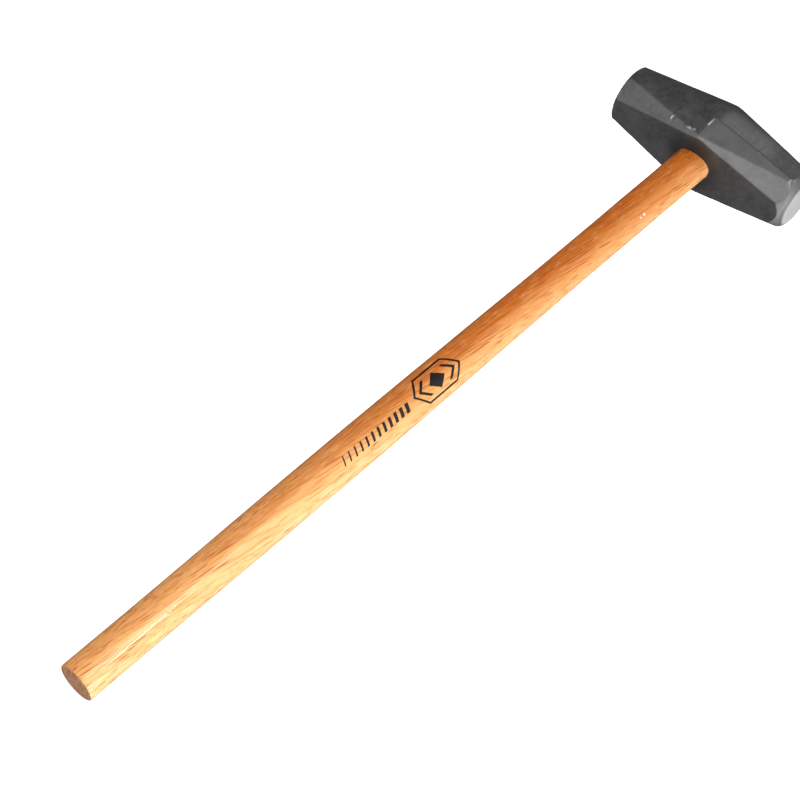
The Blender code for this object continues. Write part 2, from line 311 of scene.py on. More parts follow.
# the fibres' colour, in a lit copy and a shaded copy for the two sides
LIT_FIBRE = (0.690, 0.260, 0.060)
SHADED_FIBRE = (0.420, 0.075, 0.004)
WOOD_PORE = (0.420, 0.075, 0.008)
# painted highlight in the glinting dents, partly flaked varnish
DENT_GLINT = (0.850, 0.740, 0.700)
WOOD_FLECK = (0.980, 0.640, 0.330)
WOOD_END = (0.620, 0.330, 0.190)
WOOD_END_DARK = (0.400, 0.140, 0.060)

# Noise in the wood, drawn out along the grain or the handle
GROWTH_BANDS = ((150.0, 150.0, 3.5), 3.0, 0.55, 0.6)
FIBRES = ((560.0, 560.0, 30.0), 4.0, 0.62)
PORES = ((820.0, 820.0, 20.0), 2.0, 0.5)
CROWDING = ((120.0, 120.0, 9.0), 2.0, 0.5)
FLECKS = ((330.0, 330.0, 90.0), 2.0, 0.5)
END_RINGS = ((500.0, 120.0, 1.0), 4.0, 0.6, 0.5)
VARNISH_RIPPLE = (1500.0, 2.0)

# Where each colour shows: by height, by distance to the lit side, by noise
RED_TO_PALE = (0.15, 0.80)
LIT_REACH = (0.006, 0.020)
LIT_HEIGHT = (0.30, 0.80)
LIT_SHARE = (0.55, 0.85)
SHADED_REACH = (0.008, -0.009)
SHADED_HEIGHT = (0.35, 0.85)
SHADED_SHARE = (0.95, 0.45)
FLECK_RANGE = (0.52, 0.72)
FLECK_SHARE = 0.22
GROWTH_RANGE = (0.40, 0.72)
GROWTH_SHARE = 0.30
FIBRE_RANGE = (0.46, 0.64)
FIBRE_SHARE = 0.66
PORE_CUT = 0.680                 # noise above this is a pore ...
PORE_CROWDING = 0.16             # ... and less is enough where they crowd
PORE_SHARPNESS = 16.0
PORE_SHARE = 0.80
DENT_GLINT_EDGE = (0.80, 0.35)         # in radii of its dent
DENT_GLINT_SHARE = 0.85
END_LEVEL = (0.80, 0.95)         # how upright a normal is on end grain
END_RING_RANGE = (0.42, 0.66)

WOOD_ROUGHNESS = (0.34, 0.52)
COAT_WEIGHT = (0.32, 0.05)       # along the grain and on end grain
COAT_ROUGHNESS = 0.10
VARNISH_SPECULAR = 0.25
PORE_DEPTH = 0.6
GRAIN_BUMP = (0.00010, 0.28)
RIPPLE_BUMP = (0.00005, 0.35)

# Steel wedges, ink and floor
WEDGE_DARK = (0.22, 0.21, 0.20)
WEDGE_PALE = (0.42, 0.41, 0.40)
WEDGE_CLOUDS = (300.0, 5.0, 0.6)
WEDGE_LINES = ((200.0, 1800.0, 1800.0), 2.0)
WEDGE_ROUGHNESS = (0.35, 0.60)
WEDGE_METALLIC = 0.9
WEDGE_BUMP = (0.0001, 0.5)
INK_BLACK = (0.010, 0.009, 0.010)
INK_WORN = (0.06, 0.03, 0.02)
INK_GAPS = ((1100.0, 1100.0, 60.0), 2.0)
INK_RANGE = (0.62, 0.80)
INK_ROUGHNESS = (0.35, 0.60)
INK_BUMP = (0.00005, 0.4)
PAPER_DARK = (0.86, 0.86, 0.86)
PAPER_PALE = (0.90, 0.90, 0.90)
PAPER_MOTTLE = (3.0, 3.0)
PAPER_ROUGHNESS = 0.9
WHITE = (1.0, 1.0, 1.0, 1.0)

FLOOR_SIZE = 40.0
FLOOR_CELLS = 8
FLOOR_CLEARANCE = 0.0002
WORLD_GLOW = 0.05                # what the room gives the tool; the camera sees it white
CAMERA_PLACE = (0.5061, 1.1891, 1.2304)
CAMERA_AIM = (-0.0037, 0.0, 0.5177)
CAMERA_ROLL = math.radians(-130.08)
CAMERA_SENSOR = 36.0
CAMERA_LENS = 72.378
CAMERA_SHIFT = (-0.0066, 0.0009)

# Soft boxes: (name, height aimed at, degrees round from +X, degrees up, distance, size, watts)
LIGHTS = (
    ("key", 0.40, 0.0, 8.0, 2.8, 1.3, 50.0),
    ("right_back", 0.40, -45.0, 35.0, 2.8, 1.3, 48.0),
    ("front", 0.40, 90.0, 35.0, 2.8, 1.3, 24.0),
    ("low_front", 0.20, 58.0, -2.0, 2.4, 0.7, 13.0),
    ("butt_front", 0.85, 118.0, 24.0, 1.2, 0.4, 3.4),
    ("butt_streak", 0.86, 39.0, -16.0, 1.2, 0.10, 3.0),
    ("left_front", 0.40, 135.0, 35.0, 2.8, 1.3, 9.0),
    ("left_back", 0.40, -135.0, 35.0, 2.8, 1.3, 5.5),
)


def share_between(value, start, end):
    """0 at start, 1 at end, eased between them and level beyond; start may be the larger."""
    local = min(max((value - start) / (end - start), 0.0), 1.0)
    return local * local * (3.0 - 2.0 * local)


def inside(value, low, high, fade):
    """1 in a range, eased to 0 at its ends over a fade."""
    return share_between(value, low, low + fade) * share_between(value, high, high - fade)


def soft_min(first, second, reach):
    """The smaller of two numbers, rounded where they nearly meet."""
    blend = max(reach - abs(first - second), 0.0) / reach
    return min(first, second) - blend * blend * reach / 4.0


def tapered(x, flat, at_eye, at_end):
    """A facet's distance from the head's axis at x."""
    share = (abs(x) - flat) / (BARREL_END - flat)
    return at_eye + (at_end - at_eye) * max(share, 0.0)


def crested(x, rounding, at_eye, at_end):
    """The same for a facet that peaks over the eye instead of lying level."""
    run = math.hypot(x, rounding)
    share = (run - CHEEK_FLAT) / (BARREL_END - CHEEK_FLAT)
    return at_eye + (at_end - at_eye) * share


def facet_radius(reach, lean):
    """Distance along a ray to a facet whose normal leans from it by an angle."""
    cosine = math.cos(lean)
    return reach / cosine if cosine > GRAZING_COSINE else FAR_OFF


def cheek_pad(x, height):
    """How far the raised pad beside the eye stands proud of the draft."""
    start, end = PAD_X
    pad = PAD_PROUD * inside(x, start, end + PAD_WALL, PAD_WALL)
    return pad * share_between(height, *PAD_LOW) * share_between(height, *PAD_HIGH[::-1])


def cheek_step(x, height):
    """How far the brushed band lies below the draft beside it."""
    if x < SEAM_X[0]:
        return 0.0
    line = SEAM_HEIGHT + SEAM_RISE * x
    shallow, deep = SEAM_DEPTH
    depth = shallow + (deep - shallow) * share_between(x, *SEAM_X)
    depth *= share_between(x, SEAM_X[0], 2.0 * SEAM_X[0])
    return depth * share_between(height, line, line - SEAM_WALL) * share_between(height, *BAND_FADE)


def die_marks(x, height):
    """Sum of the small burrs and nicks near a place on the cheek."""
    total = 0.0
    for mark_x, mark_height, length, tall, proud in DIE_MARKS:
        away = ((x - mark_x) / length) ** 2 + ((height - mark_height) / tall) ** 2
        if away < MARK_REACH_SQUARED:
            total += proud * math.exp(-away)
    return total


def rub_and_glint(x, height):
    """How bright a place on the cheek is painted, from 0 to 1: a painted highlight on the pad's
    wall, and on proud die marks that are partly rubbed bare.
    """
    wall = inside(x, *GLINT_X, GLINT_FADE[0]) * inside(height, *GLINT_WALL, GLINT_FADE[1])
    burr = share_between(die_marks(x, height), *RUB_AND_GLINT_PROUD)
    return max(WALL_SHINE * wall, BURR_SHINE * burr)


def forged_radius(x, angle):
    """Radius of the forged bar at x, along a ray at an angle from +Y about the axis."""
    side = 1.0 if math.cos(angle) >= 0.0 else -1.0
    folded = math.atan2(abs(math.sin(angle)), abs(math.cos(angle)))
    cheek = tapered(x, CHEEK_FLAT, EYE_HALF_WIDTH, END_HALF_WIDTH)
    level = tapered(x, SIDE_FLAT, EYE_HALF_HEIGHT, END_HALF_HEIGHT)
    eye_corner = (EYE_HALF_WIDTH + EYE_HALF_HEIGHT - EYE_CHAMFER) * math.sqrt(0.5)
    end_corner = (END_HALF_WIDTH + END_HALF_HEIGHT - END_CHAMFER) * math.sqrt(0.5)
    corner = crested(x, CREST_ROUNDING, eye_corner, end_corner)
    land = CHEEK_LAND * math.sin(CHEEK_DRAFT)
    draft = crested(
        x,
        DRAFT_ROUNDING,
        EYE_HALF_WIDTH * math.cos(CHEEK_DRAFT) + land,
        END_HALF_WIDTH * math.cos(CHEEK_DRAFT) + land,
    )
    cheek_ray = facet_radius(cheek, folded)
    draft += cheek_pad(x, cheek_ray * math.sin(angle) * side)
    draft_ray = facet_radius(draft, folded - CHEEK_DRAFT)
    radius = soft_min(cheek_ray, draft_ray, DRAFT_EDGE)
    radius = soft_min(radius, facet_radius(corner, folded - math.pi / 4.0), CHAMFER_EDGE)
    radius = soft_min(radius, facet_radius(level, math.pi / 2.0 - folded), LEVEL_EDGE)
    height = radius * math.sin(angle) * side
    return radius + die_marks(x, height) - cheek_step(x, height)


def forging_relief(x, angle):
    """Inward unevenness of the forged skin."""
    place = Vector((x, SKIN_RADIUS * math.cos(angle), SKIN_RADIUS * math.sin(angle)))
    broad = noise.fractal(place * FORGING_SCALE, *FORGING_OCTAVES) + FORGING_SHIFT
    fine = noise.noise(place * PEENING_SCALE) + PEENING_SHIFT
    return FORGING_DEPTH * max(broad, 0.0) + PEENING_DEPTH * max(fine, 0.0)


def bevel(x):
    """(slope, radius at the face) of the ground cone at that end of the head."""
    wide, face = RIGHT_BEVEL if x > 0.0 else LEFT_BEVEL
    return (wide - face) / (HEAD_HALF_LENGTH - BARREL_END), face


def cone_radius(x):
    """Radius of the ground cone at x."""
    slope, face = bevel(x)
    return face + slope * (HEAD_HALF_LENGTH - abs(x))


def head_radius(x, angle):
    """Radius of the finished head, and how far the skin there is bare and part of the burr."""
    forged = forged_radius(x, angle) - forging_relief(x, angle)
    over = forged - cone_radius(x)
    radius = soft_min(forged, cone_radius(x), CONE_EDGE)
    if x < 0.0:
        return radius, 0.0, 0.0
    lip = 0.0
    if math.cos(angle) > 0.0:
        lip = math.exp(-(((math.sin(angle) - LIP_SINE) / LIP_SPREAD) ** 2))
        lip *= math.exp(-(((over - LIP_OVER) / LIP_REACH) ** 2))
    return radius + LIP_HEIGHT * lip, share_between(over, *BARE_EDGE), lip


def shoulder(end):
    """(corner radius, turn, centre of its arc along X, radius of the flat face) at an end."""
    slope, face = bevel(end)
    corner = RIGHT_SHOULDER if end > 0.0 else LEFT_SHOULDER
    turn = math.pi / 2.0 - math.atan(slope)
    return corner, turn, HEAD_HALF_LENGTH - corner, face - corner * math.tan(turn / 2.0)


def head_stations():
    """X positions of the rings between the two shoulders, closer at the pad's walls."""
    ends = []
    for end in (-1.0, 1.0):
        corner, turn, centre_x, _ = shoulder(end)
        ends.append(end * (centre_x + corner * math.cos(turn)))
    stations = [ends[0]]
    while stations[-1] < ends[1]:
        near = min(abs(stations[-1] - wall) for wall in PAD_X) < STATION_FINE_REACH
        stations.append(stations[-1] + (STATION_FINE_STEP if near else STATION_STEP))
    stations[-1] = ends[1]
    return stations


def end_rings(end):
    """(x, radius, bareness) of the rings past the cone, out to the middle of the face."""
    corner, turn, centre_x, edge = shoulder(end)
    bare = 1.0 if end > 0.0 else 0.0
    rings = []
    for step in range(1, SHOULDER_STEPS + 1):
        angle = turn * (1.0 - step / SHOULDER_STEPS)
        x = end * (centre_x + corner * math.cos(angle))
        rings.append((x, edge + corner * math.sin(angle), bare))
    for ring in range(1, FACE_RINGS):
        share = 1.0 - (ring / FACE_RINGS) ** FACE_RING_EASE
        rings.append((end * HEAD_HALF_LENGTH, edge * share, 1.0))
    return rings


def lay_rings(bm, rings):
    """Join equal rings of vertices with quads and close both ends with a fan."""
    count = len(rings[0])
    for near, far in zip(rings, rings[1:]):
        for index in range(count):
            following = (index + 1) % count
            bm.faces.new((near[index], near[following], far[following], far[index]))
    for ring in (rings[0], rings[-1]):
        middle = sum((vertex.co for vertex in ring), Vector()) / count
        tip = bm.verts.new(middle)
        for index in range(count):
            bm.faces.new((ring[index], ring[(index + 1) % count], tip))


def linked_object(bm, name):
    """Turn a bmesh into an object in the scene."""
    mesh = bpy.data.meshes.new(name)
    bm.to_mesh(mesh)
    bm.free()
    made = bpy.data.objects.new(name, mesh)
    bpy.context.scene.collection.objects.link(made)
    return made


def outward_object(bm, name):
    """The same, with its faces turned outward."""
    bm.normal_update()
    bmesh.ops.recalc_face_normals(bm, faces=bm.faces[:])
    return linked_object(bm, name)


def apply_booleans(piece, cutters):
    """Cut a piece with each cutter, keep the result as its mesh, drop the cutters."""
    for cutter in cutters:
        step = piece.modifiers.new(cutter.name, "BOOLEAN")
        step.operation = "DIFFERENCE"
        step.solver = "EXACT"
        step.object = cutter
    bpy.context.view_layer.update()
    evaluated = piece.evaluated_get(bpy.context.evaluated_depsgraph_get())
    result = bpy.data.meshes.new_from_object(evaluated)
    piece.modifiers.clear()
    piece.data = result
    for cutter in cutters:
        bpy.data.objects.remove(cutter, do_unlink=True)


def shade(piece):
    """Smooth shading with the real corners kept sharp."""
    piece.data.shade_smooth()
    piece.data.set_sharp_from_angle(angle=math.radians(SHARP_ANGLE))


def oval_point(half_x, half_y, exponent, angle):
    """A point of a superellipse."""
    cosine, sine = math.cos(angle), math.sin(angle)
    x = half_x * math.copysign(abs(cosine) ** (2.0 / exponent), cosine)
    y = half_y * math.copysign(abs(sine) ** (2.0 / exponent), sine)
    return x, y


def eye_size(z, clearance=0.0):
    """Half sizes of the waisted eye at height z, less a clearance."""
    if z < HEAD_CENTRE_Z:
        near, far, share = EYE_WEDGE_MOUTH, EYE_WAIST, z / HEAD_CENTRE_Z
    else:
        near, far = EYE_WAIST, EYE_HANDLE_MOUTH
        share = (z - HEAD_CENTRE_Z) / (HEAD_TOP_Z - HEAD_CENTRE_Z)
    return tuple(a + (b - a) * share - clearance for a, b in zip(near, far))


def make_eye_cutter():
    """The waisted oval hole through the head."""
    bm = bmesh.new()
    rings = []
    for z in (HEAD_LOW[2] - CUTTER_OVERRUN, HEAD_CENTRE_Z, HEAD_TOP_Z + CUTTER_OVERRUN):
        ring = []
        for index in range(HANDLE_SIDES):
            angle = 2.0 * math.pi * index / HANDLE_SIDES
            x, y = oval_point(*eye_size(z), EYE_SQUARENESS, angle)
            ring.append(bm.verts.new((x, y, z)))
        rings.append(ring)
    lay_rings(bm, rings)
    return outward_object(bm, "eye_cutter")


def make_head():
    """Forged head with its marks, ground ends and oval eye."""
    bm = bmesh.new()
    ground_layer = bm.verts.layers.float.new("ground")
    rub_and_glint_layer = bm.verts.layers.float.new("rub_and_glint")
    rings = []
    barrel = [(x, None, None) for x in head_stations()]
    for x, turned, bare in end_rings(-1.0)[::-1] + barrel + end_rings(1.0):
        ring = []
        for index in range(HEAD_SIDES):
            angle = 2.0 * math.pi * index / HEAD_SIDES
            radius, ground, lip = (turned, bare, 0.0) if turned else head_radius(x, angle)
            y, z = radius * math.cos(angle), radius * math.sin(angle)
            vertex = bm.verts.new((x, y, HEAD_CENTRE_Z + z))
            vertex[ground_layer] = ground
            # painted highlight along the burr lip, on the pad's wall and on proud die marks, these
            # partly rubbed bare
            vertex[rub_and_glint_layer] = max(lip, rub_and_glint(x, z if y > 0.0 else -z))
            ring.append(vertex)
        rings.append(ring)
    lay_rings(bm, rings)
    # the last two vertices are the middles of the struck faces
    for vertex in bm.verts[-2:]:
        vertex[ground_layer] = 1.0
    head = outward_object(bm, "forged_head")
    apply_booleans(head, [make_eye_cutter()])
    shade(head)
    return head


def handle_size(z):
    """Half sizes and exponent of the handle at height z."""
    if z <= HEAD_TOP_Z:
        return (*eye_size(z, GAP), EYE_SQUARENESS)
    share = min((z - HEAD_TOP_Z) / (BUTT_Z - HEAD_TOP_Z), 1.0)
    for start, end in zip(HANDLE_STATIONS, HANDLE_STATIONS[1:]):
        if share <= end[0]:
            eased = share_between(share, start[0], end[0])
            return tuple(a + (b - a) * eased for a, b in zip(start[1:], end[1:]))
    return HANDLE_STATIONS[-1][1:]


def handle_relief(z, angle):
    """Outward unevenness of the shaved handle, none inside the eye."""
    place = Vector((WAVE_TURN * math.cos(angle), WAVE_TURN * math.sin(angle), z * WAVE_RISE))
    wave = noise.noise(place) * WAVE_DEPTH
    wander = SHAVED_WANDER * noise.noise(Vector((z * SHAVED_RISE, SHAVED_ROW, 0.0)))
    flats = math.cos(SHAVED_FLATS * angle + wander)
    relief = wave + flats * SHAVING_DEPTH
    for height, degrees, radius, depth in DENTS:
        turn = (angle - math.radians(degrees) + math.pi) % (2.0 * math.pi) - math.pi
        away = math.hypot(z - height, DENT_ARM * turn) / radius
        if away < DENT_CUTOFF:
            relief -= depth * math.exp(-away * away * DENT_STEEPNESS)
    return relief * share_between(z, HEAD_TOP_Z, HEAD_TOP_Z + RELIEF_FADE)


def handle_point(z, angle, lift=0.0, inset=0.0):
    """A point on the handle, or one lifted off it or drawn in from it."""
    half_x, half_y, exponent = handle_size(z)
    x, y = oval_point(half_x - inset, half_y - inset, exponent, angle)
    outward = Vector((x / half_x**2, y / half_y**2, 0.0)).normalized()
    return Vector((x, y, z)) + outward * (handle_relief(z, angle) + lift)


def wedge_cutter(name):
    """A wedge's node grown by the fitting gap and run out of the tenon's end."""
    bm = bmesh.new()
    bm.from_mesh(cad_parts[name].data)
    bmesh.ops.remove_doubles(bm, verts=bm.verts[:], dist=WELD)
    bm.normal_update()
    low = min(vertex.co.z for vertex in bm.verts)
    for vertex in bm.verts:
        # a corner of three faces moves this far for each of them to move by the gap
        vertex.co += vertex.normal * GAP * math.sqrt(3.0)
        if vertex.co.z < low + GAP:
            vertex.co.z = low - CUTTER_OVERRUN
    return outward_object(bm, name + "_cutter")


def make_kerf():
    """The saw cut that the wooden wedge opens."""
    bm = bmesh.new()
    size = (3.0 * EYE_WEDGE_MOUTH[0], KERF_WIDTH, KERF_DEPTH + CUTTER_OVERRUN)
    place = Matrix.Translation((0.0, 0.0, (KERF_DEPTH - CUTTER_OVERRUN) / 2.0))
    bmesh.ops.create_cube(bm, size=1.0, matrix=place @ Matrix.Diagonal((*size, 1.0)))
    return outward_object(bm, "kerf_cutter")


def handle_rings():
    """(z, inset) of the rings from the tenon's end to the butt's edge."""
    span = HEAD_TOP_Z - TENON_Z
    rings = [(TENON_Z + span * step / TENON_RINGS, 0.0) for step in range(TENON_RINGS)]
    top = BUTT_Z - BUTT_ROUNDING
    count = round((top - HEAD_TOP_Z) / HANDLE_RING_STEP)
    rings += [(HEAD_TOP_Z + (top - HEAD_TOP_Z) * step / count, 0.0) for step in range(count + 1)]
    for step in range(1, BUTT_STEPS + 1):
        turn = math.pi / 2.0 * step / BUTT_STEPS
        inset = BUTT_ROUNDING * (1.0 - math.cos(turn))
        rings.append((top + BUTT_ROUNDING * math.sin(turn), inset))
    return rings


def make_handle():
    """Shaved wooden handle, with the kerf and wedge seats in its tenon."""
    bm = bmesh.new()
    angles = [2.0 * math.pi * index / HANDLE_SIDES for index in range(HANDLE_SIDES)]
    rings = []
    for z, inset in handle_rings():
        rings.append([bm.verts.new(handle_point(z, angle, 0.0, inset)) for angle in angles])
    edge = [vertex.co.copy() for vertex in rings[-1]]
    middle = Vector((0.0, 0.0, BUTT_Z))
    for step in range(1, BUTT_CAP_RINGS):
        share = step / BUTT_CAP_RINGS
        rings.append([bm.verts.new(place.lerp(middle, share)) for place in edge])
    lay_rings(bm, rings)
    handle = outward_object(bm, "varnished_handle")
    names = ("wood_wedge", "steel_wedge_left", "steel_wedge_right")
    apply_booleans(handle, [wedge_cutter(name) for name in names] + [make_kerf()])
    shade(handle)
    return handle


def ring_polygons():
    """The hexagon ring and what is in it, as polygons of (along, across)."""
    def hexagon(shrink):
        length, width = RING_HALF_LENGTH - shrink * RING_POINT, RING_HALF_WIDTH - shrink
        shoulder = RING_SHOULDER - shrink * RING_TUCK
        return [
            (length, 0.0), (shoulder, width), (-shoulder, width),
            (-length, 0.0), (-shoulder, -width), (shoulder, -width),
        ]

    outer, inner = hexagon(0.0), hexagon(RING_LINE)
    shapes = []
    for index in range(6):
        following = (index + 1) % 6
        shapes.append([outer[index], outer[following], inner[following], inner[index]])
    length, width = LOZENGE
    shapes.append([(length, 0.0), (0.0, width), (-length, 0.0), (0.0, -width)])
    half = CHEVRON_HALF_WIDTH
    for end in (-1.0, 1.0):
        outer_tip, inner_tip = (end * along for along in CHEVRON_TIP)
        outer_arm, inner_arm = (end * along for along in CHEVRON_ARM)
        shapes.append([
            (outer_tip, 0.0), (outer_arm, half), (inner_arm, half),
            (inner_tip, 0.0), (inner_arm, -half), (outer_arm, -half),
        ])
    return shapes


def bar_polygons():
    """Slanted bars that thicken towards the ring."""
    shapes = []
    pitch = (BARS_END_Z - BARS_START_Z) / BAR_COUNT
    for index in range(BAR_COUNT):
        width = BAR_THICK + (BAR_THIN - BAR_THICK) * index / (BAR_COUNT - 1)
        start = BARS_START_Z + pitch * (index + 0.5) - width / 2.0
        half = BAR_HEIGHT / 2.0
        low, high = start + BAR_SLANT / 2.0, start - BAR_SLANT / 2.0
        shapes.append([(low, -half), (low + width, -half), (high + width, half), (high, half)])
    return shapes


def make_print(name, shapes, centre_z, centre_angle):
    """Thin ink that lies on the handle, made from flat polygons."""
    bm = bmesh.new()
    for shape in shapes:
        bm.faces.new([bm.verts.new((along, across, 0.0)) for along, across in shape])
    bmesh.ops.remove_doubles(bm, verts=bm.verts[:], dist=WELD)
    bmesh.ops.triangulate(bm, faces=[face for face in bm.faces if len(face.verts) > 4])
    for axis in (0, 1):
        low = min(vertex.co[axis] for vertex in bm.verts)
        high = max(vertex.co[axis] for vertex in bm.verts)
        normal = Vector((1.0, 0.0, 0.0)) if axis == 0 else Vector((0.0, 1.0, 0.0))
        pitch = INK_PITCH * (2.0 if axis == 0 else 1.0)
        for step in range(1, math.ceil((high - low) / pitch)):
            geometry = bm.verts[:] + bm.edges[:] + bm.faces[:]
            point = normal * (low + step * pitch)
            bmesh.ops.bisect_plane(bm, geom=geometry, plane_co=point, plane_no=normal)
    radius = handle_size(MARK_CENTRE_Z)[0]
    for vertex in bm.verts:
        z = centre_z + vertex.co.x
        angle = centre_angle + vertex.co.y / radius
        vertex.co = handle_point(z, angle, INK_LIFT)
    outward = Vector((math.cos(centre_angle), math.sin(centre_angle), 0.0))
    bm.normal_update()
    for face in bm.faces:
        if face.normal.dot(outward) < 0.0:
            face.normal_flip()
    ink = linked_object(bm, name)
    shell = ink.modifiers.new("ink_thickness", "SOLIDIFY")
    shell.thickness = INK_THICKNESS
    shell.offset = 1.0
    return ink


class Shader:
    """A material's node tree, built with short calls."""

    def __init__(self, name):
        self.material = bpy.data.materials.new(name)
        self.material.use_nodes = True
        self.tree = self.material.node_tree
        self.surface = self.tree.nodes["Principled BSDF"]

    def add(self, kind, inputs=None, **settings):
        """A node with some settings; an input is a number or another socket."""
        made = self.tree.nodes.new(kind)
        for key, value in settings.items():
            setattr(made, key, value)
        for key, value in (inputs or {}).items():
            self.feed(made.inputs[key], value)
        return made

    def feed(self, socket, value):
        """Set or link one socket."""
        if isinstance(value, bpy.types.NodeSocket):
            self.tree.links.new(value, socket)
        else:
            socket.default_value = value

    def output(self, name, value):
        """Link a varying value to the surface."""
        self.feed(self.surface.inputs[name], value)

    def constant(self, name, value):
        """Set the surface's own socket to a value that is the same all over."""
        self.surface.inputs[name].default_value = value

    def place(self):
        """Object coordinates, in metres."""
        return self.add("ShaderNodeTexCoord").outputs["Object"]

    def facing(self):
        """The normal of the mesh's own face."""
        return self.add("ShaderNodeNewGeometry").outputs["True Normal"]

    def attribute(self, name):
        """A number stored in the mesh."""
        return self.add("ShaderNodeAttribute", attribute_name=name).outputs["Fac"]

    def axis(self, vector, name):
        """One coordinate of a vector."""
        return self.add("ShaderNodeSeparateXYZ", {"Vector": vector}).outputs[name]

    def maths(self, operation, first, second=0.0, clamp=False):
        """One arithmetic step."""
        return self.add(
            "ShaderNodeMath", {0: first, 1: second}, operation=operation, use_clamp=clamp
        ).outputs[0]

    def times(self, first, second):
        """The product of two values."""
        return self.maths("MULTIPLY", first, second)

    def window(self, value, low, high):
        """0 up to low, 1 from high, eased; it falls where low is the larger."""
        return self.add(
            "ShaderNodeMapRange",
            {"Value": value, "From Min": low, "From Max": high},
            interpolation_type="SMOOTHSTEP",
        ).outputs["Result"]

    def span(self, value, low, high):
        """Spread a 0 to 1 value over another range."""
        return self.add(
            "ShaderNodeMapRange", {"Value": value, "To Min": low, "To Max": high}
        ).outputs["Result"]

    def distance(self, vector, point):
        """Distance of a vector from a fixed point."""
        node = self.add("ShaderNodeVectorMath", operation="DISTANCE")
        self.feed(node.inputs[0], vector)
        self.feed(node.inputs[1], point)
        return node.outputs["Value"]

    def noise(self, vector, scale=1.0, detail=3.0, roughness=0.5, distortion=0.0):
        """Noise between 0 and 1."""
        return self.add("ShaderNodeTexNoise", {
            "Vector": vector, "Scale": scale, "Detail": detail,
            "Roughness": roughness, "Distortion": distortion,
        }).outputs["Fac"]

    def streaks(self, vector, stretch, *settings):
        """Noise with its own scale along each axis."""
        scaled = self.add("ShaderNodeVectorMath", {0: vector, 1: stretch}, operation="MULTIPLY")
        return self.noise(scaled.outputs["Vector"], 1.0, *settings)

    def mix(self, factor, first, second):
        """Blend two colours."""
        made = self.add("ShaderNodeMix", data_type="RGBA")
        self.feed(made.inputs["Factor"], factor)
        for socket, value in ((made.inputs[6], first), (made.inputs[7], second)):
            self.feed(socket, (*value, 1.0) if isinstance(value, tuple) else value)
        return made.outputs[2]

    def mix_numbers(self, factor, first, second):
        """Blend two numbers."""
        made = self.add("ShaderNodeMix", data_type="FLOAT")
        for key, value in (("Factor", factor), (2, first), (3, second)):
            self.feed(made.inputs[key], value)
        return made.outputs[0]

    def bump(self, height, distance, strength, normal=None):
        """Turn a height into a normal, on top of an earlier one."""
        inputs = {"Height": height, "Distance": distance, "Strength": strength}
        if normal:
            inputs["Normal"] = normal
        return self.add("ShaderNodeBump", inputs).outputs["Normal"]


